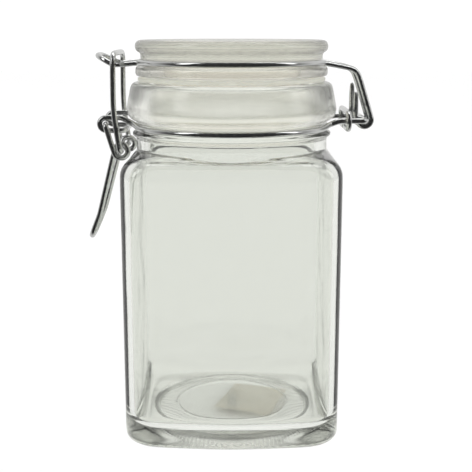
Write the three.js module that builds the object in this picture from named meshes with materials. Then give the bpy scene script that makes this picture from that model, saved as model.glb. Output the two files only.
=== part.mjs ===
// A square glass canister whose round glass lid is held shut by a wire clasp.
// Millimetres, +Z up. The origin is on the table, under the jar's own axis.
// The clasp is on the -X side and the hinge is on the +X side.
import * as THREE from "three";

// Wire and clearances
const wireDiameter = 2;
const clearance = 0.3; // between pieces that touch on the real thing
const sidePlay = 0.4; // between wires that lie side by side along Y
const eyePlay = 0.5; // slack of a wire in a loose eye or hook

// Jar
const bodyWidth = 76.8;
const bodyHeight = 98; // top of the straight walls
const bodyCorner = 10;
const wall = 3;
const floorHeight = 6.4;
const floorFillet = 6.5;
const heelHeight = 6;
const heelInset = 4.5;
const footSquareness = 0.55; // how square the foot is, from 0 for round to 1
const punt = { radius: 28, depth: 2.8, rim: 2.5 }; // hollow under the base
const shoulderFillet = 6;
const shelfRise = 0.7; // from the shoulder in to the neck
const neckRadius = 35;
const mouthWall = 4.4;
const bead = { proud: 1.5, rise: 5.6, halfHeight: 1.2 };
const neckWireRise = 8.3; // from the foot of the neck to the wire round it
const collar = { proud: 3.4, gapOverWire: 0.8, height: 13.9, lowerCurve: 4.2, topInset: 2.1 };

// Lid and gasket
const lidFlange = 3.6;
const lidGroove = { height: 4.9, depth: 2 };
const lidTopPlate = 4.4;
const lidBoss = { clearance: 2.2, height: 5.2, wall: 3.1 };
const lidSkin = 6.9; // glass over the hollow of the lid
const gasket = { thickness: 1.5, setback: 0.8 };

// Clasp, in the XZ plane where no side is named
const armSide = 10.8; // of each neck wire arm, from the middle plane
const pivotStandOff = 6.5; // of the lever's pivot, from the widest glass
const pivotRise = 1.2; // over the neck wire
const eyeInset = 6.1; // of the lever's eye, from its pivot
const eyeDrop = 9.5;
const handle = { kneeOut: 8.85, kneeDown: 23.7, kneeSide: 7.7, tipOut: 3.9, tipDown: 9.3, tipBend: 5 };
const bailWaist = { out: 2.1, rise: 14.3 };
const crossbarPlay = 0.8; // least gap over the nose as the clasp opens
const nose = { saddleOut: 6.8, saddleDrop: 1, saddleSide: 9.5, tipOut: 6.2, tipSide: 7.4, tipRise: 3.3 };

// Hinge
const hingeStandOff = 9.7; // of the hinge bar, from the collar
const hingeRise = 2.3; // over the neck wire
const hookSide = 6.3;
const armCorner = { inset: 3.1, drop: 2.5 };
const tails = [
  { side: -1, out: 2.7, height: 9.8 },
  { side: 1, out: 3.9, height: 13 },
];
const tailSide = 1.3;
const tieLoop = { inset: 6.4, radius: 3, gap: 0.7 };

// Label under the base
const label = { width: 22, length: 26, thickness: 0.25, x: 7.6, y: 3.4, turn: -18, peel: 1.9, peelStart: 16 };

// Fineness of the facets
const roundSteps = 56;
const wireSides = 4; // half the number of flats round a wire
const bendStep = 22.5; // degrees

// Places worked out from the sizes above
const wireRadius = wireDiameter / 2;
const bodyHalf = bodyWidth / 2;
const neckFoot = bodyHeight + shoulderFillet + shelfRise;
const mouthRadius = neckRadius - mouthWall;
const collarRadius = neckRadius + collar.proud;
const neckWireZ = neckFoot + neckWireRise;
const neckWireRadius = neckRadius + wireRadius + clearance;
const collarFoot = neckWireZ + wireRadius + collar.gapOverWire;
const rimZ = collarFoot + collar.height;
const flangeBottom = rimZ + gasket.thickness + 2 * clearance;
const flangeTop = flangeBottom + lidFlange;
const plateBottom = flangeTop + lidGroove.height;
const lidTop = plateBottom + lidTopPlate;
const lidRadius = neckRadius;
const grooveRadius = lidRadius - lidGroove.depth;
const bossRadius = mouthRadius - lidBoss.clearance;
const lidWireZ = flangeTop + wireRadius + eyePlay;
const lidWireRadius = grooveRadius + wireRadius + clearance;

const snugEye = wireDiameter + clearance; // centre line of an eye round a wire
const looseEye = wireDiameter + eyePlay;
const widestGlass = Math.max(collarRadius, bodyHalf);
const leverSide = armSide + wireDiameter + sidePlay;
const handleSide = leverSide - wireDiameter - clearance;
const bailSide = leverSide + wireDiameter + sidePlay;
const pivot = new THREE.Vector2(-widestGlass - pivotStandOff, neckWireZ + pivotRise);
// The lever's eye stays clear of the jar's shoulder, whichever of the two is nearer.
const eyeZ = pivot.y - eyeDrop;
const eyeReach = shoulderFillet + looseEye + wireRadius + clearance;
const eyeHeight = Math.max(eyeZ - bodyHeight, 0);
const shoulderX = shoulderFillet - bodyHalf - Math.sqrt(eyeReach ** 2 - eyeHeight ** 2);
const leverEye = new THREE.Vector2(Math.min(pivot.x + eyeInset, shoulderX), eyeZ);
const saddle = new THREE.Vector2(-lidRadius - nose.saddleOut, lidWireZ - nose.saddleDrop);
// The crossbar clears the nose even as the eye passes under the pivot.
const overCentre = pivot.distanceTo(leverEye) - eyeDrop;
const crossbar = new THREE.Vector2(
  Math.min(saddle.x + wireRadius / 2, -lidRadius - wireRadius - clearance),
  saddle.y + wireDiameter + overCentre + crossbarPlay,
);
const hinge = new THREE.Vector2(collarRadius + hingeStandOff, neckWireZ + hingeRise);

const glass = new THREE.MeshStandardMaterial({ color: 0xdde3da, roughness: 0.05, metalness: 0 });
const lidGlass = new THREE.MeshStandardMaterial({ color: 0xd3d8cc, roughness: 0.08, metalness: 0 });
const steel = new THREE.MeshStandardMaterial({ color: 0xb9bbbc, roughness: 0.22, metalness: 1 });
const silicone = new THREE.MeshStandardMaterial({ color: 0xd9d9cb, roughness: 0.55, metalness: 0 });
const paper = new THREE.MeshStandardMaterial({ color: 0xcfc9bb, roughness: 0.9, metalness: 0 });

// Distance from the axis to a square with rounded corners, at an angle round the axis.
function roundedSquare(angle, half, corner) {
  const along = Math.max(Math.abs(Math.cos(angle)), Math.abs(Math.sin(angle)));
  const across = Math.min(Math.abs(Math.cos(angle)), Math.abs(Math.sin(angle)));
  const core = half - corner;
  if ((half * across) / along <= core) return half / along;
  const middle = core * (along + across);
  return middle + Math.sqrt(middle ** 2 - 2 * core ** 2 + corner ** 2);
}

// A turned shape whose stations may each be part square: from round at 0 to square at 1.
function turned(stations) {
  const profile = stations.map((s) => new THREE.Vector2(s.radius, s.z));
  const geometry = new THREE.LatheGeometry(profile, roundSteps);
  geometry.rotateX(Math.PI / 2);
  const position = geometry.getAttribute("position");
  for (let i = 0; i < position.count; i++) {
    const station = stations[i % stations.length];
    const turn = Math.floor(i / stations.length) % roundSteps;
    const even = (turn / roundSteps) * 2 * Math.PI;
    const angle = even + 0.11 * Math.sin(4 * even); // closer together at the corners
    const square = roundedSquare(angle, station.half ?? 0, station.corner ?? 0);
    const pressed = THREE.MathUtils.lerp(station.radius, square, station.squareness ?? 0);
    const radius = Math.max(pressed, station.least ?? 0);
    position.setXYZ(i, radius * Math.cos(angle), radius * Math.sin(angle), station.z);
  }
  return geometry;
}

// Stations of a round profile, from pairs of radius and height.
const round = (pairs) => pairs.map(([radius, z]) => ({ radius, z }));

// The square wall rounded over at its top, nowhere inside the round neck, then in to the neck.
function shoulder(half, corner, fillet, neck, from, steps) {
  const stations = [];
  for (let i = 0; i <= steps; i++) {
    const angle = (i / steps) * (Math.PI / 2);
    const inset = fillet * (1 - Math.cos(angle));
    stations.push({
      radius: neck,
      z: from + fillet * Math.sin(angle),
      half: half - inset,
      corner: corner - inset / 2,
      squareness: 1,
      least: neck,
    });
  }
  return [...stations, { radius: neck, z: from + fillet + shelfRise }];
}

// A quarter of an ellipse from the floor or the foot of a wall up to the wall.
function heel(half, corner, inset, z, height, steps) {
  const stations = [];
  for (let i = 0; i <= steps; i++) {
    const angle = (i / steps) * (Math.PI / 2);
    const shrink = inset * (1 - Math.sin(angle));
    stations.push({
      radius: half - shrink,
      z: z + height * (1 - Math.cos(angle)),
      half: half - shrink,
      corner: corner - shrink / 2,
      squareness: THREE.MathUtils.lerp(footSquareness, 1, Math.sin(angle)),
    });
  }
  return stations;
}

function jarGeometry() {
  const beadZ = neckFoot + bead.rise;
  const outside = [
    ...round([
      [0, punt.depth],
      [punt.radius - 1, punt.depth],
      [punt.radius + punt.rim / 2, punt.depth / 2],
      [punt.radius + punt.rim, 0],
    ]),
    ...heel(bodyHalf, bodyCorner, heelInset, 0, heelHeight, 5),
    ...shoulder(bodyHalf, bodyCorner, shoulderFillet, neckRadius, bodyHeight, 6),
    ...round([
      [neckRadius, beadZ - bead.halfHeight],
      [neckRadius + bead.proud * 0.7, beadZ - bead.halfHeight * 0.7],
      [neckRadius + bead.proud, beadZ],
      [neckRadius + bead.proud * 0.7, beadZ + bead.halfHeight * 0.7],
      [neckRadius, beadZ + bead.halfHeight],
      [neckRadius, collarFoot],
      [neckRadius + collar.proud * 0.7, collarFoot + collar.lowerCurve * 0.29],
      [neckRadius + collar.proud * 0.94, collarFoot + collar.lowerCurve * 0.66],
      [collarRadius, collarFoot + collar.lowerCurve],
      [collarRadius - collar.topInset * 0.7, rimZ - collar.topInset],
      [collarRadius - collar.topInset, rimZ - collar.topInset * 0.4],
      [collarRadius - collar.topInset * 1.6, rimZ],
    ]),
  ];
  const lip = 1;
  const innerHalf = bodyHalf - wall;
  const innerCorner = bodyCorner - wall;
  const innerFillet = shoulderFillet - 1;
  const inside = [
    ...heel(innerHalf, innerCorner, floorFillet, floorHeight, floorFillet, 4),
    ...shoulder(innerHalf, innerCorner, innerFillet, mouthRadius, bodyHeight - 1, 5),
    ...round([
      [mouthRadius, rimZ - lip],
      [mouthRadius + lip * 0.3, rimZ - lip * 0.3],
      [mouthRadius + lip, rimZ],
    ]),
  ];
  return turned([...outside, ...inside.reverse(), { radius: 0, z: floorHeight }]);
}

function lidGeometry() {
  const edge = 1;
  const bossBottom = flangeBottom - lidBoss.height;
  const hollowRadius = bossRadius - lidBoss.wall;
  return turned(
    round([
      [0, lidTop - lidSkin],
      [hollowRadius - 3, lidTop - lidSkin],
      [hollowRadius - 0.6, lidTop - lidSkin - 1.6],
      [hollowRadius, bossBottom + 0.5],
      [hollowRadius + 0.5, bossBottom],
      [bossRadius - 0.7, bossBottom],
      [bossRadius - 0.2, bossBottom + 0.6],
      [bossRadius, flangeBottom],
      [lidRadius - edge, flangeBottom],
      [lidRadius - edge * 0.3, flangeBottom + edge * 0.3],
      [lidRadius, flangeBottom + edge],
      [lidRadius, flangeTop - edge],
      [lidRadius - edge * 0.3, flangeTop - edge * 0.3],
      [lidRadius - edge, flangeTop],
      [grooveRadius, flangeTop],
      [grooveRadius, plateBottom - 0.6],
      [grooveRadius + 0.6, plateBottom],
      [lidRadius - 2 * edge, plateBottom],
      [lidRadius - edge * 0.6, plateBottom + edge * 0.6],
      [lidRadius, plateBottom + 2 * edge],
      [lidRadius - edge * 0.6, lidTop - edge * 0.6],
      [lidRadius - 2 * edge, lidTop],
      [0, lidTop],
    ]),
  );
}

function gasketGeometry() {
  const inner = bossRadius + clearance;
  const outer = neckRadius - gasket.setback;
  const bottom = rimZ + clearance;
  const top = bottom + gasket.thickness;
  const edge = 0.4;
  return turned(
    round([
      [inner, bottom],
      [outer - edge, bottom],
      [outer, bottom + edge],
      [outer, top - edge],
      [outer - edge, top],
      [inner, top],
      [inner, bottom],
    ]),
  );
}

// A paper rectangle under the base, with its front outer corner peeled down.
function labelGeometry() {
  const { width, length, thickness, x, y, turn, peel, peelStart } = label;
  const geometry = new THREE.BoxGeometry(width, length, thickness, 8, 12, 1);
  const position = geometry.getAttribute("position");
  const reach = width / 2 + length / 2;
  for (let i = 0; i < position.count; i++) {
    const toCorner = reach - position.getX(i) + position.getY(i);
    const lift = Math.max(0, 1 - toCorner / peelStart) ** 2 * peel;
    position.setZ(i, position.getZ(i) - lift);
  }
  geometry.rotateZ(THREE.MathUtils.degToRad(turn));
  geometry.translate(x, y, punt.depth - clearance - thickness / 2);
  return geometry;
}

// A bent wire's centre line, stepped exactly at the stops it is given.
class BentWire extends THREE.Curve {
  constructor(stops) {
    super();
    this.stops = stops;
  }

  getPoint(t, target = new THREE.Vector3()) {
    const place = THREE.MathUtils.clamp(t, 0, 1) * (this.stops.length - 1);
    const index = Math.min(Math.floor(place), this.stops.length - 2);
    return target.lerpVectors(this.stops[index], this.stops[index + 1], place - index);
  }

  getUtoTmapping(u) {
    return u;
  }
}

function wireGeometry(stops) {
  const section = new THREE.Shape().absarc(0, 0, wireRadius, 0, 2 * Math.PI, false);
  return new THREE.ExtrudeGeometry(section, {
    steps: stops.length - 1,
    curveSegments: wireSides,
    extrudePath: new BentWire(stops),
  });
}

// Corners of a wire, each rounded to its own bend radius. A corner is [x, y, z, radius].
function bent(corners) {
  const at = corners.map(([x, y, z]) => new THREE.Vector3(x, y, z));
  const stops = [];
  corners.forEach(([, , , radius], i) => {
    if (!radius || i === 0 || i === corners.length - 1) {
      stops.push(at[i]);
      return;
    }
    const back = at[i - 1].clone().sub(at[i]).normalize();
    const on = at[i + 1].clone().sub(at[i]).normalize();
    const opening = back.angleTo(on);
    const centre = back.clone().add(on).normalize();
    centre.multiplyScalar(radius / Math.sin(opening / 2)).add(at[i]);
    const spoke = back.clone().multiplyScalar(radius / Math.tan(opening / 2));
    spoke.add(at[i]).sub(centre);
    const axis = on.clone().cross(back).normalize();
    const turn = Math.PI - opening;
    const count = Math.max(1, Math.ceil(turn / THREE.MathUtils.degToRad(bendStep)));
    for (let k = 0; k <= count; k++) {
      stops.push(spoke.clone().applyAxisAngle(axis, (k / count) * turn).add(centre));
    }
  });
  return stops;
}

// An arc in the XZ plane, which may drift along Y as a coil does. Angles are in degrees.
function sideArc(centre, radius, from, to, sideFrom, sideTo = sideFrom) {
  const count = Math.max(1, Math.ceil(Math.abs(to - from) / bendStep));
  const stops = [];
  for (let i = 0; i <= count; i++) {
    const angle = THREE.MathUtils.degToRad(THREE.MathUtils.lerp(from, to, i / count));
    const side = THREE.MathUtils.lerp(sideFrom, sideTo, i / count);
    const x = centre.x + radius * Math.cos(angle);
    stops.push(new THREE.Vector3(x, side, centre.y + radius * Math.sin(angle)));
  }
  return stops;
}

// Half of a level ring round the axis, on the -Y side, from one angle to another.
function ringArc(radius, z, from, to) {
  const count = 24;
  const stops = [];
  for (let i = 0; i <= count; i++) {
    const angle = THREE.MathUtils.degToRad(THREE.MathUtils.lerp(from, to, i / count));
    stops.push(new THREE.Vector3(radius * Math.cos(angle), radius * Math.sin(angle), z));
  }
  return stops;
}

// A point straight on from a ring, past its end at the given angle.
function ringRunOut(radius, z, angle, run) {
  const a = THREE.MathUtils.degToRad(angle);
  const point = new THREE.Vector3(radius * Math.cos(a), radius * Math.sin(a), z);
  return point.add(new THREE.Vector3(-Math.sin(a) * run, Math.cos(a) * run, 0));
}

// Angle, in degrees, where a line from a point meets a circle on the given hand of it.
function tangentAngle(centre, radius, point, hand) {
  const towards = point.clone().sub(centre);
  const angle = towards.angle() + hand * Math.acos(radius / towards.length());
  return THREE.MathUtils.radToDeg(angle);
}

// The other half of a wire that is the same on both sides, joined in the middle plane.
function mirrored(half) {
  const other = half.slice(0, -1).reverse();
  return [...half, ...other.map((p) => new THREE.Vector3(p.x, -p.y, p.z))];
}

const corner = (point, radius = 0) => [point.x, point.y, point.z, radius];

function neckWireHalf(tail) {
  const ringEnd = { right: -27, left: -154 };
  const hingeBar = [hinge.x, -armSide, hinge.y];
  const tailX = hinge.x - tail.out;
  const bend = 1.6;
  const rightRun = ringRunOut(neckWireRadius, neckWireZ + 1, ringEnd.right, 5.5);
  const rightStart = ringArc(neckWireRadius, neckWireZ, ringEnd.right, ringEnd.right)[0];
  const armStart = collarRadius + clearance;
  const hingeSide = bent([
    [tailX, -tailSide, hinge.y + tail.height],
    [tailX, -tailSide, hinge.y, bend],
    [hinge.x, -tailSide - wireRadius, hinge.y, 0.5],
    [...hingeBar, bend],
    [armStart, -armSide, hinge.y, 3],
    corner(rightRun, 3),
    corner(rightStart),
  ]);
  const leftRun = ringRunOut(neckWireRadius, neckWireZ + 1.2, ringEnd.left, -5);
  const leftEnd = ringArc(neckWireRadius, neckWireZ, ringEnd.left, ringEnd.left)[0];
  const armZ = pivot.y + snugEye;
  const claspSide = bent([
    corner(leftEnd),
    corner(leftRun, 3),
    [-collarRadius - wireRadius, -armSide, armZ, 3],
    [pivot.x, -armSide, armZ],
  ]);
  const bridgeX = -Math.max(neckRadius + bead.proud, neckWireRadius) - wireRadius - 0.9;
  const eye = sideArc(pivot, snugEye, 90, 270, -armSide);
  const bridge = bent([
    [pivot.x, -armSide, pivot.y - snugEye],
    [bridgeX, -armSide, pivot.y - snugEye, bend],
    [bridgeX, 0, pivot.y - snugEye],
  ]);
  const ring = ringArc(neckWireRadius, neckWireZ, ringEnd.right, ringEnd.left);
  return [
    ...hingeSide,
    ...ring.slice(1),
    ...claspSide.slice(1),
    ...eye.slice(1),
    ...bridge.slice(1),
  ];
}

function neckWireStops() {
  const [near, far] = tails.map(neckWireHalf);
  const otherSide = far.slice(0, -1).reverse();
  return [...near, ...otherSide.map((p) => new THREE.Vector3(p.x, -p.y, p.z))];
}

// A loop round both hinge arms that keeps the neck wire from springing open.
function tieLoopStops() {
  const { inset, radius, gap } = tieLoop;
  const x = hinge.x - inset;
  const around = [];
  for (const [side, start] of [[-1, 270], [1, 90]]) {
    for (let angle = 0; angle <= 180; angle += bendStep) {
      const turn = THREE.MathUtils.degToRad(start - angle);
      const y = side * armSide + radius * Math.cos(turn);
      around.push(new THREE.Vector3(x, y, hinge.y + radius * Math.sin(turn)));
    }
  }
  const start = new THREE.Vector3(x, -gap, hinge.y - radius);
  const end = new THREE.Vector3(x, gap, hinge.y - radius);
  return [start, ...around, end];
}

function leverStops() {
  const knee = new THREE.Vector2(leverEye.x - handle.kneeOut, leverEye.y - handle.kneeDown);
  const tip = new THREE.Vector2(knee.x - handle.tipOut, knee.y - handle.tipDown);
  const tipSide = armSide - wireRadius - 1.2;
  const into = tangentAngle(leverEye, looseEye, pivot, 1);
  const outOf = tangentAngle(leverEye, looseEye, knee, -1) + 360;
  const coil = sideArc(leverEye, looseEye, into, outOf, -leverSide, -handleSide);
  const half = [
    ...bent([
      [pivot.x, -tipSide, pivot.y],
      [pivot.x, -leverSide, pivot.y, 1.3],
      corner(coil[0]),
    ]),
    ...coil.slice(1, -1),
    ...bent([
      corner(coil[coil.length - 1]),
      [knee.x, -handle.kneeSide, knee.y, 9],
      [tip.x, -handle.tipBend - wireRadius, tip.y, handle.tipBend],
      [tip.x, 0, tip.y],
    ]),
  ];
  return mirrored(half);
}

function bailStops() {
  const endSide = handleSide - wireRadius - clearance;
  const waist = [leverEye.x - bailWaist.out, -bailSide, leverEye.y + bailWaist.rise];
  const half = bent([
    [leverEye.x, -endSide, leverEye.y],
    [leverEye.x, -bailSide, leverEye.y, 1.3],
    [...waist, 30],
    [crossbar.x, -bailSide, crossbar.y, 4],
    [crossbar.x, 0, crossbar.y],
  ]);
  return mirrored(half);
}

function lidWireStops() {
  const ringEnd = { right: -27, left: -155 };
  const armTop = new THREE.Vector2(hinge.x - armCorner.inset, lidWireZ - armCorner.drop);
  const outOf = tangentAngle(hinge, looseEye, armTop, -1) + 360;
  const hook = sideArc(hinge, looseEye, 195, outOf, -hookSide);
  const rightRun = ringRunOut(lidWireRadius, lidWireZ, ringEnd.right, 3.5);
  const leftRun = ringRunOut(lidWireRadius, lidWireZ, ringEnd.left, -3);
  const ring = ringArc(lidWireRadius, lidWireZ, ringEnd.right, ringEnd.left);
  const tipX = saddle.x - nose.tipOut;
  const half = [
    ...hook.slice(0, -1),
    ...bent([
      corner(hook[hook.length - 1]),
      [armTop.x, -hookSide, armTop.y, 5],
      corner(rightRun, 2.5),
      corner(ring[0]),
    ]),
    ...ring.slice(1, -1),
    ...bent([
      corner(ring[ring.length - 1]),
      corner(leftRun, 2.2),
      [saddle.x, -nose.saddleSide, saddle.y, 5],
      [tipX, -nose.tipSide, saddle.y + nose.tipRise, 5.5],
      [tipX, 0, saddle.y + nose.tipRise],
    ]),
  ];
  return mirrored(half);
}

const canister = new THREE.Group();

function add(name, geometry, material) {
  const mesh = new THREE.Mesh(geometry, material);
  mesh.name = name;
  canister.add(mesh);
}

add("jar_body", jarGeometry(), glass);
add("base_label", labelGeometry(), paper);
add("neck_wire", wireGeometry(neckWireStops()), steel);
add("tie_loop", wireGeometry(tieLoopStops()), steel);
add("lever", wireGeometry(leverStops()), steel);
add("bail", wireGeometry(bailStops()), steel);
add("lid_wire", wireGeometry(lidWireStops()), steel);
add("glass_lid", lidGeometry(), lidGlass);
add("gasket", gasketGeometry(), silicone);

export default canister;
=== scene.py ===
import math

import bpy
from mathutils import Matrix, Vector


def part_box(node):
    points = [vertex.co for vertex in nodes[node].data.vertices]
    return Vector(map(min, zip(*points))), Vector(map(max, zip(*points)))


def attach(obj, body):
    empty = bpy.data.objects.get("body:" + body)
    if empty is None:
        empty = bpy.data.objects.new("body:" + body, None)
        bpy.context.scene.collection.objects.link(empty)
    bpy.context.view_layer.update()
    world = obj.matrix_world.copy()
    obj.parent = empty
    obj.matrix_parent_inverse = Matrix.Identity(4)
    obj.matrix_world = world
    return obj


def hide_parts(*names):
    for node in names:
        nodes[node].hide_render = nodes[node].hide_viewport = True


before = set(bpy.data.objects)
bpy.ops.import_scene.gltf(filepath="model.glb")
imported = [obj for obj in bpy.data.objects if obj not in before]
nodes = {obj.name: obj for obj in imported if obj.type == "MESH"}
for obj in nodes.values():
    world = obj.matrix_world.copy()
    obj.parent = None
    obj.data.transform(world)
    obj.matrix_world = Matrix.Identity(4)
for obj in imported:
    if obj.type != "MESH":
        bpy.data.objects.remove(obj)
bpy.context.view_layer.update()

mm = 0.001
print("frame loaded:", len(nodes), "nodes")


def deselectAll():
    if bpy.context.object and bpy.context.object.mode != "OBJECT":
        bpy.ops.object.mode_set(mode="OBJECT")
    bpy.ops.object.select_all(action="DESELECT")


def pickOnly(obj):
    deselectAll()
    obj.select_set(True)
    bpy.context.view_layer.objects.active = obj


def openForEditing(obj, selectMode="VERT"):
    pickOnly(obj)
    bpy.ops.object.mode_set(mode="EDIT")
    bpy.ops.mesh.select_mode(type=selectMode)


def applySmoothing(obj, levels):
    pickOnly(obj)
    smoothing = obj.modifiers.new("smoothing", "SUBSURF")
    smoothing.levels = levels
    smoothing.render_levels = levels
    bpy.ops.object.modifier_apply(modifier=smoothing.name)
    bpy.ops.object.shade_smooth()


def setMaterial(obj, material):
    obj.data.materials.clear()
    obj.data.materials.append(material)


# clear glass keeps no light from the table
def letLightThrough(obj):
    obj.visible_diffuse = False
    obj.visible_shadow = False


# distance from the middle to a square with rounded corners, at one angle
def roundedSquare(angle, half, corner):
    along = max(abs(math.cos(angle)), abs(math.sin(angle)))
    across = min(abs(math.cos(angle)), abs(math.sin(angle)))
    core = half - corner
    if half * across / along <= core:
        return half / along
    middle = core * (along + across)
    return middle + math.sqrt(middle ** 2 - 2 * core ** 2 + corner ** 2)


# a station is one level of a turned shape: radius, height, then how square it is, half width and corner
def station(radius, height, squareness=0.0, half=0.0, corner=0.0, least=0.0):
    level = {"radius": radius, "height": height, "squareness": squareness}
    level.update({"half": half, "corner": corner, "least": least})
    return level


# each ring is pulled out of the last one, as a potter would, then pressed towards a square
def turnUp(name, stations, columns, closedRing=False):
    first = stations[0]
    deselectAll()
    bpy.ops.mesh.primitive_circle_add(
        vertices=columns, radius=first["radius"] * mm, fill_type="NOTHING", location=(0, 0, first["height"] * mm)
    )
    obj = bpy.context.object
    obj.name = name
    obj.data.name = name
    bpy.ops.object.transform_apply(location=True, rotation=True, scale=True)
    openForEditing(obj)
    bpy.ops.mesh.select_all(action="SELECT")
    last = first
    for level in stations[1:]:
        rise = (level["height"] - last["height"]) * mm
        grow = level["radius"] / last["radius"]
        bpy.ops.mesh.extrude_region_move(TRANSFORM_OT_translate={"value": (0, 0, rise)})
        bpy.ops.transform.resize(value=(grow, grow, 1), center_override=(0, 0, level["height"] * mm))
        last = level
    if closedRing:
        bpy.ops.mesh.select_non_manifold()
        bpy.ops.mesh.bridge_edge_loops()
    else:
        bpy.ops.mesh.fill_grid(span=columns // 4)  # the last ring is still selected
        bpy.ops.mesh.select_all(action="DESELECT")
        bpy.ops.mesh.select_non_manifold()
        bpy.ops.mesh.fill_grid(span=columns // 4)  # then the first
    bpy.ops.mesh.select_all(action="SELECT")
    bpy.ops.mesh.normals_make_consistent(inside=False)
    bpy.ops.object.mode_set(mode="OBJECT")
    pressSquare(obj, stations, columns)
    return obj


cornerCrowding = 0.11  # moves columns towards the corners of the square


def pressSquare(obj, stations, columns):
    for index, vertex in enumerate(obj.data.vertices):
        ring = index // columns
        if ring >= len(stations) or stations[ring]["squareness"] == 0:
            continue
        level = stations[ring]
        even = math.atan2(vertex.co.y, vertex.co.x)
        angle = even + cornerCrowding * math.sin(4 * even)
        square = roundedSquare(angle, level["half"], level["corner"])
        reach = level["radius"] + (square - level["radius"]) * level["squareness"]
        reach = max(reach, level["least"])
        vertex.co.x = reach * math.cos(angle) * mm
        vertex.co.y = reach * math.sin(angle) * mm


def newMaterial(name):
    material = bpy.data.materials.new(name)
    material.use_nodes = True
    tree = material.node_tree
    tree.nodes.clear()
    output = tree.nodes.new("ShaderNodeOutputMaterial")
    shader = tree.nodes.new("ShaderNodeBsdfPrincipled")
    tree.links.new(shader.outputs["BSDF"], output.inputs["Surface"])
    place = tree.nodes.new("ShaderNodeTexCoord")
    return material, tree, shader, output, place


def addNoise(tree, place, scale, detail=3.0, stretch=(1, 1, 1)):
    mapping = tree.nodes.new("ShaderNodeMapping")
    mapping.inputs["Scale"].default_value = stretch
    noise = tree.nodes.new("ShaderNodeTexNoise")
    noise.inputs["Scale"].default_value = scale
    noise.inputs["Detail"].default_value = detail
    tree.links.new(place.outputs["Object"], mapping.inputs["Vector"])
    tree.links.new(mapping.outputs["Vector"], noise.inputs["Vector"])
    return noise


def addMath(tree, operation, first, second=None, third=None):
    node = tree.nodes.new("ShaderNodeMath")
    node.operation = operation
    for socket, value in zip(node.inputs, (first, second, third)):
        if value is None:
            continue
        if isinstance(value, (int, float)):
            socket.default_value = value
        else:
            tree.links.new(value, socket)
    return node.outputs[0]


def addBump(tree, shader, height, strength, distance):
    bump = tree.nodes.new("ShaderNodeBump")
    bump.inputs["Strength"].default_value = strength
    bump.inputs["Distance"].default_value = distance
    tree.links.new(height, bump.inputs["Height"])
    tree.links.new(bump.outputs["Normal"], shader.inputs["Normal"])
    return bump


def addRange(tree, value, fromLow, fromHigh, toLow, toHigh):
    node = tree.nodes.new("ShaderNodeMapRange")
    node.interpolation_type = "SMOOTHSTEP"
    node.inputs["From Min"].default_value = fromLow
    node.inputs["From Max"].default_value = fromHigh
    node.inputs["To Min"].default_value = toLow
    node.inputs["To Max"].default_value = toHigh
    tree.links.new(value, node.inputs["Value"])
    return node.outputs["Result"]


glassLook = {
    "tintLow": (0.86, 0.872, 0.838, 1),  # body
    "tintHigh": (0.955, 0.955, 0.915, 1),  # collar and lid
    "roughLow": 0.02,  # fire-polished body
    "roughHigh": 0.19,  # softer where the mould touched, on the collar and the lid
    "roughHeel": 0.20,  # the ribbed heel scatters the light
    "heelFrom": 5 * mm,
    "heelTo": 9 * mm,
    "softFrom": 104 * mm,
    "softTo": 116 * mm,
    "ior": 1.5,
    "absorbColour": (0.62, 0.66, 0.52, 1),
    "absorbDensity": 7.5,
    "wobbleScale": 45.0,  # slow unevenness of pressed glass
    "wobbleDepth": 0.00016,
    "bandScale": 260.0,  # fine level rings from the mould
    "bandDepth": 0.000012,
}


def clearGlass(name, look, heelTicks=None):
    material, tree, shader, output, place = newMaterial(name)
    shader.inputs["IOR"].default_value = look["ior"]
    shader.inputs["Transmission Weight"].default_value = 1.0
    split = tree.nodes.new("ShaderNodeSeparateXYZ")
    tree.links.new(place.outputs["Object"], split.inputs["Vector"])
    rise = addRange(tree, split.outputs["Z"], look["softFrom"], look["softTo"], 0, 1)
    rough = addRange(tree, rise, 0, 1, look["roughLow"], look["roughHigh"])
    heelRough = addRange(tree, split.outputs["Z"], look["heelFrom"], look["heelTo"], look["roughHeel"], 0)
    tree.links.new(addMath(tree, "ADD", rough, heelRough), shader.inputs["Roughness"])
    tints = tree.nodes.new("ShaderNodeValToRGB")
    tints.color_ramp.elements[0].color = look["tintLow"]
    tints.color_ramp.elements[1].color = look["tintHigh"]
    tree.links.new(rise, tints.inputs["Fac"])
    tree.links.new(tints.outputs["Color"], shader.inputs["Base Color"])
    absorb = tree.nodes.new("ShaderNodeVolumeAbsorption")
    absorb.inputs["Color"].default_value = look["absorbColour"]
    absorb.inputs["Density"].default_value = look["absorbDensity"]
    tree.links.new(absorb.outputs["Volume"], output.inputs["Volume"])
    wobble = addNoise(tree, place, look["wobbleScale"], 1.5)
    bands = addNoise(tree, place, look["bandScale"], 2.0, (0.08, 0.08, 1))
    deep = addMath(tree, "MULTIPLY", wobble.outputs["Fac"], look["wobbleDepth"])
    height = addMath(tree, "MULTIPLY_ADD", bands.outputs["Fac"], look["bandDepth"], deep)
    if heelTicks:
        height = addMath(tree, "ADD", height, tickHeight(tree, place, heelTicks))
    addBump(tree, shader, height, 1.0, 1.0)
    return material


heelTickLook = {"count": 110, "low": 0.9 * mm, "high": 3.4 * mm, "soft": 0.5 * mm, "depth": 0.00007}


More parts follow.
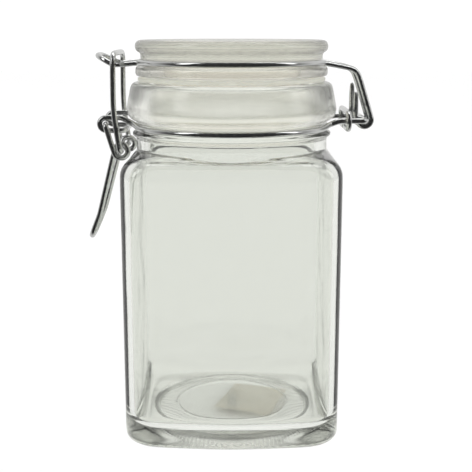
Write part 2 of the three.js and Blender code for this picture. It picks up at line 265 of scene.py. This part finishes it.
# short upright ribs all round the heel
def tickHeight(tree, place, look):
    around = tree.nodes.new("ShaderNodeTexGradient")
    around.gradient_type = "RADIAL"
    tree.links.new(place.outputs["Object"], around.inputs["Vector"])
    turns = addMath(tree, "MULTIPLY", around.outputs["Fac"], look["count"])
    rib = addMath(tree, "PINGPONG", turns, 0.5)
    split = tree.nodes.new("ShaderNodeSeparateXYZ")
    tree.links.new(place.outputs["Object"], split.inputs["Vector"])
    rising = addRange(tree, split.outputs["Z"], look["low"], look["low"] + look["soft"], 0, 1)
    falling = addRange(tree, split.outputs["Z"], look["high"] - look["soft"], look["high"], 1, 0)
    band = addMath(tree, "MULTIPLY", rising, falling)
    shaped = addRange(tree, rib, 0.08, 0.4, 0, look["depth"])
    return addMath(tree, "MULTIPLY", shaped, band)


steelLook = {
    "colour": (0.62, 0.625, 0.62, 1),
    "scratchScale": 900.0,
    "roughLow": 0.10,
    "roughHigh": 0.26,
    "drawDepth": 0.00002,
}


def brightSteel(name, look):
    material, tree, shader, output, place = newMaterial(name)
    shader.inputs["Base Color"].default_value = look["colour"]
    shader.inputs["Metallic"].default_value = 1.0
    cloud = addNoise(tree, place, look["scratchScale"], 4.0, (1, 1, 0.4))
    rough = addRange(tree, cloud.outputs["Fac"], 0.3, 0.7, look["roughLow"], look["roughHigh"])
    tree.links.new(rough, shader.inputs["Roughness"])
    height = addMath(tree, "MULTIPLY", cloud.outputs["Fac"], look["drawDepth"])
    addBump(tree, shader, height, 1.0, 1.0)
    return material


rubberLook = {
    "light": (0.64, 0.645, 0.57, 1),
    "dark": (0.57, 0.57, 0.50, 1),
    "roughness": 0.42,
    "subsurface": 0.35,
    "grainScale": 420.0,
    "grainDepth": 0.00004,
}


def sealRubber(name, look):
    material, tree, shader, output, place = newMaterial(name)
    grain = addNoise(tree, place, look["grainScale"], 4.0)
    ramp = tree.nodes.new("ShaderNodeValToRGB")
    ramp.color_ramp.elements[0].position = 0.3
    ramp.color_ramp.elements[0].color = look["dark"]
    ramp.color_ramp.elements[1].position = 0.7
    ramp.color_ramp.elements[1].color = look["light"]
    tree.links.new(grain.outputs["Fac"], ramp.inputs["Fac"])
    tree.links.new(ramp.outputs["Color"], shader.inputs["Base Color"])
    shader.inputs["Roughness"].default_value = look["roughness"]
    shader.inputs["Subsurface Weight"].default_value = look["subsurface"]
    shader.inputs["Subsurface Radius"].default_value = (0.002, 0.0018, 0.0014)
    shader.inputs["Subsurface Scale"].default_value = 1.0
    height = addMath(tree, "MULTIPLY", grain.outputs["Fac"], look["grainDepth"])
    addBump(tree, shader, height, 1.0, 1.0)
    return material


paperLook = {
    "light": (0.70, 0.65, 0.55, 1),
    "dark": (0.60, 0.55, 0.46, 1),
    "roughness": 0.85,
    "fibreScale": 700.0,
    "fibreDepth": 0.00006,
}


def labelPaper(name, look):
    material, tree, shader, output, place = newMaterial(name)
    fibre = addNoise(tree, place, look["fibreScale"], 6.0, (1, 0.35, 1))
    ramp = tree.nodes.new("ShaderNodeValToRGB")
    ramp.color_ramp.elements[0].position = 0.25
    ramp.color_ramp.elements[0].color = look["dark"]
    ramp.color_ramp.elements[1].position = 0.75
    ramp.color_ramp.elements[1].color = look["light"]
    tree.links.new(fibre.outputs["Fac"], ramp.inputs["Fac"])
    tree.links.new(ramp.outputs["Color"], shader.inputs["Base Color"])
    shader.inputs["Roughness"].default_value = look["roughness"]
    height = addMath(tree, "MULTIPLY", fibre.outputs["Fac"], look["fibreDepth"])
    addBump(tree, shader, height, 1.0, 1.0)
    return material


jarGlass = clearGlass("jarGlass", glassLook, heelTickLook)
lidLook = {**glassLook, "tintHigh": (0.915, 0.895, 0.845, 1)}  # thicker, so a little warmer
lidGlass = clearGlass("lidGlass", lidLook)
wireSteel = brightSteel("wireSteel", steelLook)
rubber = sealRubber("sealRubber", rubberLook)
paper = labelPaper("labelPaper", paperLook)
print("finishes made")


jarLow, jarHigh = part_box("jar_body")
gasketLow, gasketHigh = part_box("gasket")
lidLow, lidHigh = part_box("glass_lid")

jarSize = {
    "half": 38.4,
    "corner": 10.0,
    "wall": 3.0,
    "rim": jarHigh.z / mm,
    "collar": jarHigh.x / mm,
    "neck": 35.0,
    "mouth": 30.6,
    "wallTop": 98.0,
    "fillet": 6.0,
    "neckFoot": 104.7,
    "heelInset": 4.5,
    "heelRise": 6.0,
    "footSquareness": 0.55,
    "bead": 36.5,
    "beadHeight": 110.3,
    "collarFoot": 114.8,
    "floor": 6.4,
    "punt": 28.0,
    "puntDepth": 2.8,
    "columns": 72,
}


# a quarter of an ellipse that turns a floor or foot up into the wall
def heelLevels(half, corner, inset, base, rise, steps, footSquareness):
    levels = []
    for i in range(steps + 1):
        turn = i / steps * math.pi / 2
        shrink = inset * (1 - math.sin(turn))
        levels.append(
            station(
                half - shrink,
                base + rise * (1 - math.cos(turn)),
                footSquareness + (1 - footSquareness) * math.sin(turn),
                half - shrink,
                corner - shrink / 2,
            )
        )
    return levels


# the square wall rounded over at its top, nowhere inside the round neck, then in to the neck
def shoulderLevels(half, corner, fillet, neck, low, neckFoot, steps):
    levels = []
    for i in range(steps + 1):
        turn = i / steps * math.pi / 2
        inset = fillet * (1 - math.cos(turn))
        height = low + fillet * math.sin(turn)
        levels.append(station(neck, height, 1, half - inset, corner - inset / 2, neck))
    return levels + [station(neck, neckFoot - 0.15), station(neck, neckFoot + 0.5)]


def makeJar(size):
    s = size
    neck, beadHeight = s["neck"], s["beadHeight"]
    outside = [
        station(4, s["puntDepth"]),
        station(19.5, s["puntDepth"]),
        station(20.4, s["puntDepth"] + 0.1),
        station(21, s["puntDepth"] + 0.45),
        station(21.6, s["puntDepth"] + 0.1),
        station(22.5, s["puntDepth"]),
        station(s["punt"] - 1.2, s["puntDepth"]),
        station(s["punt"] + 0.3, s["puntDepth"] - 0.35),
        station(s["punt"] + 1.3, s["puntDepth"] / 2),
        station(s["punt"] + 1.9, 0.35),
        station(s["punt"] + 2.6, 0.02),
    ]
    outside += heelLevels(
        s["half"], s["corner"], s["heelInset"], 0.02, s["heelRise"], 7, s["footSquareness"]
    )
    outside += [
        station(s["half"], 15, 1, s["half"], s["corner"]),
        station(s["half"], s["wallTop"] - 5, 1, s["half"], s["corner"]),
    ]
    outside += shoulderLevels(s["half"], s["corner"], s["fillet"], neck, s["wallTop"], s["neckFoot"], 7)
    outside += [
        station(neck, beadHeight - 1.6),
        station(neck + 0.15, beadHeight - 1.1),
        station(neck + 1.1, beadHeight - 0.75),
        station(s["bead"], beadHeight),
        station(neck + 1.1, beadHeight + 0.75),
        station(neck + 0.15, beadHeight + 1.1),
        station(neck, beadHeight + 1.6),
        station(neck, s["collarFoot"] - 0.4),
        station(neck + 0.3, s["collarFoot"] + 0.05),
        station(neck + 1.6, s["collarFoot"] + 0.7),
        station(neck + 2.6, s["collarFoot"] + 1.6),
        station(s["collar"] - 0.25, s["collarFoot"] + 2.8),
        station(s["collar"], s["collarFoot"] + 4.2),
        station(s["collar"] - 0.35, s["collarFoot"] + 6.5),
        station(s["collar"] - 1.0, s["rim"] - 4.4),
        station(s["collar"] - 1.45, s["rim"] - 2.2),
        station(s["collar"] - 1.8, s["rim"] - 1.1),
        station(s["collar"] - 2.5, s["rim"] - 0.35),
        station(s["collar"] - 3.5, s["rim"]),
        station(s["mouth"] + 1.4, s["rim"]),
        station(s["mouth"] + 0.5, s["rim"] - 0.25),
        station(s["mouth"] + 0.05, s["rim"] - 0.9),
        station(s["mouth"], s["rim"] - 2.5),
    ]
    innerHalf, innerCorner = s["half"] - s["wall"], s["corner"] - s["wall"]
    inside = heelLevels(innerHalf, innerCorner, 6.5, s["floor"], 6.5, 6, s["footSquareness"])
    inside += [
        station(innerHalf, 15, 1, innerHalf, innerCorner),
        station(innerHalf, s["wallTop"] - 6, 1, innerHalf, innerCorner),
    ]
    inside += shoulderLevels(
        innerHalf, innerCorner, s["fillet"] - 1, s["mouth"], s["wallTop"] - 1, s["neckFoot"] - 1.5, 7
    )
    inside += [station(s["mouth"], s["neckFoot"] + 6)]
    inside.reverse()
    inside += [station(24, s["floor"]), station(14, s["floor"]), station(4, s["floor"])]
    jar = turnUp("jarOfGlass", outside + inside, s["columns"])
    applySmoothing(jar, 2)
    setMaterial(jar, jarGlass)
    letLightThrough(jar)
    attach(jar, "jar")
    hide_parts("jar_body")
    return jar


makeJar(jarSize)
print("jar made")


lidSize = {
    "top": lidHigh.z / mm,
    "radius": lidHigh.x / mm,
    "flangeLow": 130.8,
    "flangeHigh": 134.4,
    "plateLow": 139.3,
    "groove": 33.0,
    "boss": 28.4,
    "bossLow": lidLow.z / mm,
    "hollow": 25.3,
    "skin": 6.9,
    "columns": 72,
}


def makeLid(size):
    s = size
    r = s["radius"]
    ceiling = s["top"] - s["skin"]
    levels = [
        station(4, ceiling),
        station(s["hollow"] - 6, ceiling - 0.1),
        station(s["hollow"] - 3.2, ceiling - 0.25),
        station(s["hollow"] - 1.4, ceiling - 1.1),
        station(s["hollow"] - 0.5, ceiling - 2.8),
        station(s["hollow"] - 0.1, ceiling - 6),
        station(s["hollow"], s["bossLow"] + 1.2),
        station(s["hollow"] + 0.35, s["bossLow"] + 0.3),
        station(s["hollow"] + 1.0, s["bossLow"]),
        station(s["boss"] - 1.1, s["bossLow"]),
        station(s["boss"] - 0.4, s["bossLow"] + 0.3),
        station(s["boss"] - 0.1, s["bossLow"] + 1.2),
        station(s["boss"], s["flangeLow"] - 0.5),
        station(s["boss"] + 0.5, s["flangeLow"]),
        station(r - 1.3, s["flangeLow"]),
        station(r - 0.4, s["flangeLow"] + 0.25),
        station(r - 0.05, s["flangeLow"] + 0.9),
        station(r - 0.05, s["flangeHigh"] - 0.9),
        station(r - 0.4, s["flangeHigh"] - 0.25),
        station(r - 1.2, s["flangeHigh"]),
        station(s["groove"] + 0.3, s["flangeHigh"] + 0.05),
        station(s["groove"], s["flangeHigh"] + 0.5),
        station(s["groove"], s["plateLow"] - 0.9),
        station(s["groove"] + 0.3, s["plateLow"] - 0.2),
        station(s["groove"] + 0.9, s["plateLow"] + 0.1),
        station(r - 0.5, s["plateLow"] + 0.5),
        station(r - 0.05, s["plateLow"] + 1.4),
        station(r, s["plateLow"] + 2.3),
        station(r - 0.15, s["top"] - 1.3),
        station(r - 0.8, s["top"] - 0.4),
        station(r - 1.9, s["top"] - 0.02),
        station(r - 5, s["top"]),
        station(18, s["top"]),
        station(4, s["top"]),
    ]
    lid = turnUp("lidOfGlass", levels, s["columns"])
    applySmoothing(lid, 2)
    setMaterial(lid, lidGlass)
    letLightThrough(lid)
    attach(lid, "lid")
    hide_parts("glass_lid")
    return lid


makeLid(lidSize)
print("lid made")


sealSize = {
    "inner": 28.7,
    "outer": gasketHigh.x / mm,
    "low": gasketLow.z / mm,
    "high": gasketHigh.z / mm,
    "columns": 96,
}


def makeSeal(size):
    s = size
    middle = (s["low"] + s["high"]) / 2
    levels = [
        station(s["inner"] + 0.05, s["low"] + 0.02),
        station(s["inner"] + 2.0, s["low"]),
        station(s["outer"] - 0.7, s["low"]),
        station(s["outer"] - 0.15, s["low"] + 0.15),
        station(s["outer"], middle),
        station(s["outer"] - 0.15, s["high"] - 0.15),
        station(s["outer"] - 0.7, s["high"]),
        station(s["inner"] + 2.0, s["high"]),
        station(s["inner"] + 0.05, s["high"] - 0.02),
    ]
    seal = turnUp("sealOfRubber", levels, s["columns"], closedRing=True)
    applySmoothing(seal, 2)
    setMaterial(seal, rubber)
    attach(seal, "lid")
    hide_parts("gasket")
    return seal


makeSeal(sealSize)
print("sealing ring made")


wireFinish = {"levels": 2, "fatten": 0.09 * mm}  # smoothing thins the wire by about a tenth
wireBodies = {
    "neck_wire": "jar",
    "tie_loop": "jar",
    "lid_wire": "lid_wire",
    "lever": "lever",
    "bail": "bail",
}


def makeWire(nodeName, bodyName, finish):
    rough = nodes[nodeName]
    deselectAll()
    wire = bpy.data.objects.new(nodeName.split("_")[0] + "Bent", rough.data.copy())
    bpy.context.scene.collection.objects.link(wire)
    openForEditing(wire)
    bpy.ops.mesh.select_all(action="SELECT")
    bpy.ops.mesh.remove_doubles(threshold=0.02 * mm)
    bpy.ops.mesh.tris_convert_to_quads(face_threshold=math.radians(50), shape_threshold=math.radians(70))
    bpy.ops.object.mode_set(mode="OBJECT")
    applySmoothing(wire, finish["levels"])
    openForEditing(wire)
    bpy.ops.mesh.select_all(action="SELECT")
    bpy.ops.transform.shrink_fatten(value=finish["fatten"])
    bpy.ops.object.mode_set(mode="OBJECT")
    setMaterial(wire, wireSteel)
    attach(wire, bodyName)
    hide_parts(nodeName)
    return wire


for nodeName, bodyName in wireBodies.items():
    makeWire(nodeName, bodyName, wireFinish)
print("wires made")


labelSize = {
    "width": 22.0,
    "length": 26.0,
    "thickness": 0.18,
    "x": 7.6,
    "y": 3.4,
    "turn": -18.0,
    "top": jarSize["puntDepth"] - 0.33,
    "peel": 1.8,
    "peelStart": 16.0,
}


def makeLabel(size):
    s = size
    deselectAll()
    bpy.ops.mesh.primitive_grid_add(x_subdivisions=22, y_subdivisions=26, size=1, location=(0, 0, 0))
    label = bpy.context.object
    label.name = "labelOfPaper"
    reach = (s["width"] + s["length"]) / 2
    for vertex in label.data.vertices:
        x, y = vertex.co.x * s["width"], vertex.co.y * s["length"]
        toCorner = reach - x + y  # nothing at the front outer corner
        lift = max(0, 1 - toCorner / s["peelStart"]) ** 2 * s["peel"]
        vertex.co = (x * mm, y * mm, -lift * mm)
    pickOnly(label)
    body = label.modifiers.new("body", "SOLIDIFY")
    body.thickness = s["thickness"] * mm
    body.offset = -1
    bpy.ops.object.modifier_apply(modifier=body.name)
    label.rotation_euler.z = math.radians(s["turn"])
    label.location = (s["x"] * mm, s["y"] * mm, s["top"] * mm)
    bpy.ops.object.transform_apply(location=True, rotation=True, scale=True)
    bpy.ops.object.shade_smooth_by_angle(angle=math.radians(40))
    setMaterial(label, paper)
    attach(label, "jar")
    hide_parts("base_label")
    return label


makeLabel(labelSize)
print("label made")


studio = {
    "floorSize": 6.0,
    "floorColour": (0.99, 0.99, 0.99, 1),
    "sky": (1.0, 1.0, 1.0, 1),
    "skyStrength": 1.05,
    "reflectedFront": (0.03, 0.03, 0.03, 1),  # the dark room in front, which bright metal mirrors
    "reflectedBack": (0.80, 0.80, 0.79, 1),
    "darkTo": -0.25,  # how far round from the front the dark room reaches
    "brightFrom": 0.35,
    "glassShare": 0.45,  # how much of the dark room shows inside the glass
}


def makeFloor(look):
    deselectAll()
    bpy.ops.mesh.primitive_plane_add(size=look["floorSize"], location=(0, 0, -0.0002))
    floor = bpy.context.object
    floor.name = "floor"
    material, tree, shader, output, place = newMaterial("floorPaper")
    shader.inputs["Base Color"].default_value = look["floorColour"]
    shader.inputs["Roughness"].default_value = 0.9
    setMaterial(floor, material)
    floor.visible_glossy = False


def makeSky(look):
    world = bpy.data.worlds.new("studioSky")
    bpy.context.scene.world = world
    world.use_nodes = True
    tree = world.node_tree
    tree.nodes.clear()
    output = tree.nodes.new("ShaderNodeOutputWorld")
    sky = tree.nodes.new("ShaderNodeBackground")
    sky.inputs["Color"].default_value = look["sky"]
    sky.inputs["Strength"].default_value = look["skyStrength"]
    room = tree.nodes.new("ShaderNodeBackground")
    direction = tree.nodes.new("ShaderNodeTexCoord")
    split = tree.nodes.new("ShaderNodeSeparateXYZ")
    depth = tree.nodes.new("ShaderNodeMapRange")
    depth.inputs["From Min"].default_value = look["darkTo"]
    depth.inputs["From Max"].default_value = look["brightFrom"]
    ramp = tree.nodes.new("ShaderNodeValToRGB")
    ramp.color_ramp.elements[0].color = look["reflectedFront"]
    ramp.color_ramp.elements[1].color = look["reflectedBack"]
    tree.links.new(direction.outputs["Generated"], split.inputs["Vector"])
    tree.links.new(split.outputs["Y"], depth.inputs["Value"])
    tree.links.new(depth.outputs["Result"], ramp.inputs["Fac"])
    tree.links.new(ramp.outputs["Color"], room.inputs["Color"])
    path = tree.nodes.new("ShaderNodeLightPath")
    blend = tree.nodes.new("ShaderNodeMixShader")
    behindGlass = addMath(tree, "GREATER_THAN", path.outputs["Transmission Depth"], 0.5)
    darkShare = addMath(tree, "MULTIPLY_ADD", behindGlass, look["glassShare"] - 1, 1)
    tree.links.new(addMath(tree, "MULTIPLY", path.outputs["Is Glossy Ray"], darkShare), blend.inputs["Fac"])
    tree.links.new(sky.outputs["Background"], blend.inputs[1])
    tree.links.new(room.outputs["Background"], blend.inputs[2])
    tree.links.new(blend.outputs["Shader"], output.inputs["Surface"])


def addSoftbox(name, place, target, width, height, power):
    deselectAll()
    bpy.ops.object.light_add(type="AREA", location=place)
    light = bpy.context.object
    light.name = name
    light.data.shape = "RECTANGLE"
    light.data.size = width
    light.data.size_y = height
    light.data.energy = power
    aim = [target[i] - place[i] for i in range(3)]
    flat = math.hypot(aim[0], aim[1])
    light.rotation_euler = (math.atan2(flat, -aim[2]), 0, math.atan2(aim[1], aim[0]) - math.pi / 2)
    light.visible_diffuse = False  # the softboxes only shine in the glass and the wire
    light.visible_transmission = False


makeFloor(studio)
makeSky(studio)
jarMiddle = (0, 0, 0.075)
addSoftbox("softboxLeft", (-0.8, -0.5, 0.7), jarMiddle, 0.25, 0.9, 2.2)
addSoftbox("softboxRight", (0.9, -0.25, 0.6), jarMiddle, 0.2, 0.9, 1.6)
addSoftbox("softboxTop", (0.1, 0.2, 1.2), jarMiddle, 0.8, 0.3, 2.5)
print("studio made")


cameraSet = {"place": (0.0016, -0.3536, 0.148), "pitch": 12.3, "lens": 73.0}

deselectAll()
bpy.ops.object.camera_add(location=cameraSet["place"], rotation=(math.radians(90 - cameraSet["pitch"]), 0, 0))
camera = bpy.context.object
camera.data.lens = cameraSet["lens"]
camera.data.sensor_width = 36
camera.data.clip_start = 0.01
bpy.context.scene.camera = camera
bpy.context.scene.view_settings.view_transform = "Standard"
print("camera set")
